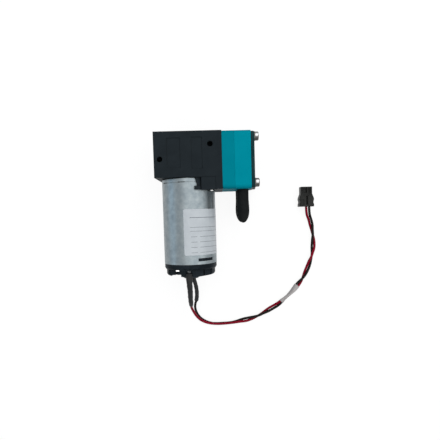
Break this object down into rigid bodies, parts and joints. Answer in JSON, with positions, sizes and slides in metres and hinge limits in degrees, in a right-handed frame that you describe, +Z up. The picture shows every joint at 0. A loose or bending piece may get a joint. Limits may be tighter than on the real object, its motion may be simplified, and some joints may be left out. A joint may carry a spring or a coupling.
{
  "type": "diaphragm vacuum pump",
  "caption": "Miniature diaphragm vacuum pump: black crank housing, teal head with capped hose ports, direct-current motor, two leads and a plug.",
  "frame": {"origin": "on the rear face that the pump lies on, under the point where the line of the connecting rod meets the axis of the motor shaft", "axes": "+X along the connecting rod towards the pump head, -Y along the motor towards its end cap, +Z up from the resting face"},
  "size_m": [0.0875, 0.1058, 0.0292],
  "materials": {
    "housing_black": "moulded, lightly grained",
    "plate_teal": "moulded satin",
    "head_teal": "moulded satin",
    "cover_dark": "dark coated, satin",
    "screw_steel": "zinc plated",
    "washer_steel": "bright",
    "steel": "ground",
    "cage_plastic": "natural",
    "rod_aluminium": "machined",
    "diaphragm_rubber": "moulded",
    "seal_rubber": "moulded",
    "cap_rubber": "soft, dull",
    "can_metal": "zinc plated, satin",
    "bronze": "sintered",
    "core_steel": "laminated",
    "copper": "enamelled",
    "magnet_ceramic": "ferrite",
    "carbon": "carbon",
    "terminal_tin": "tinned",
    "end_cap_black": "moulded satin",
    "label_silver": "satin film",
    "shrink_black": "shrunk tubing",
    "wire_red": "insulation",
    "wire_black": "insulation",
    "marker_white": "sleeve",
    "plug_black": "moulded"
  },
  "bodies": {
    "root": {"brush_springs": "bronze", "brush_tabs": "terminal_tin", "brushes": "carbon", "cover_plate": "cover_dark", "diaphragm": "diaphragm_rubber", "front_bushing": "bronze", "head_gasket": "seal_rubber", "head_plate": "head_teal", "head_screws": "screw_steel", "head_washers": "washer_steel", "heat_shrink_black": "shrink_black", "heat_shrink_red": "shrink_black", "housing": "housing_black", "intermediate_plate": "plate_teal", "lead_black": "wire_black", "lead_red": "wire_red", "magnets": "magnet_ceramic", "marker_sleeve": "marker_white", "motor_can": "can_metal", "motor_end_cap": "end_cap_black", "motor_terminals": "terminal_tin", "plug_contacts": "terminal_tin", "plug_housing": "plug_black", "rating_label": "label_silver", "rear_bushing": "bronze", "saddle_screws": "screw_steel"},
    "rotor": {"motor_shaft": "steel", "armature_core": "core_steel", "armature_windings": "copper", "commutator": "copper", "thrust_washers": "washer_steel", "eccentric": "steel", "bearing_inner_ring": "steel"},
    "cage": {"bearing_cage": "cage_plastic", "bearing_balls": "steel"},
    "rod": {"connecting_rod": "rod_aluminium", "bearing_outer_ring": "steel", "clamp_disc": "rod_aluminium", "clamp_screw": "screw_steel"},
    "inlet_disc": {"inlet_valve": "seal_rubber"},
    "outlet_disc": {"outlet_valve": "seal_rubber"},
    "front_cap": {"port_cap_front": "cap_rubber"},
    "rear_cap": {"port_cap_rear": "cap_rubber"}
  },
  "joints": [
    {"name": "shaft_spin", "type": "hinge", "parent": "root", "child": "rotor", "pos_m": [0, 0, 0.0146], "axis": [0, 1, 0], "continuous": true},
    {"name": "rod_orbit", "type": "hinge", "parent": "rotor", "child": "rod", "pos_m": [-0.0015, 0, 0.0146], "axis": [0, 1, 0], "continuous": true, "deforming": ["diaphragm"]},
    {"name": "cage_roll", "type": "hinge", "parent": "rotor", "child": "cage", "pos_m": [-0.0015, 0, 0.0146], "axis": [0, 1, 0], "continuous": true},
    {"name": "inlet_valve_lift", "type": "slide", "parent": "root", "child": "inlet_disc", "axis": [-1, 0, 0], "range_m": [0, 0.0004]},
    {"name": "outlet_valve_lift", "type": "slide", "parent": "root", "child": "outlet_disc", "axis": [1, 0, 0], "range_m": [0, 0.0004]},
    {"name": "front_cap_pull", "type": "slide", "parent": "root", "child": "front_cap", "axis": [0, -1, 0], "range_m": [0, 0.02]},
    {"name": "rear_cap_pull", "type": "slide", "parent": "root", "child": "rear_cap", "axis": [0, -1, 0], "range_m": [0, 0.02]}
  ],
  "couplings": [
    {"joint": "rod_orbit", "follows": "shaft_spin", "ratio": -1},
    {"joint": "cage_roll", "follows": "shaft_spin", "ratio": -0.58}
  ]
}
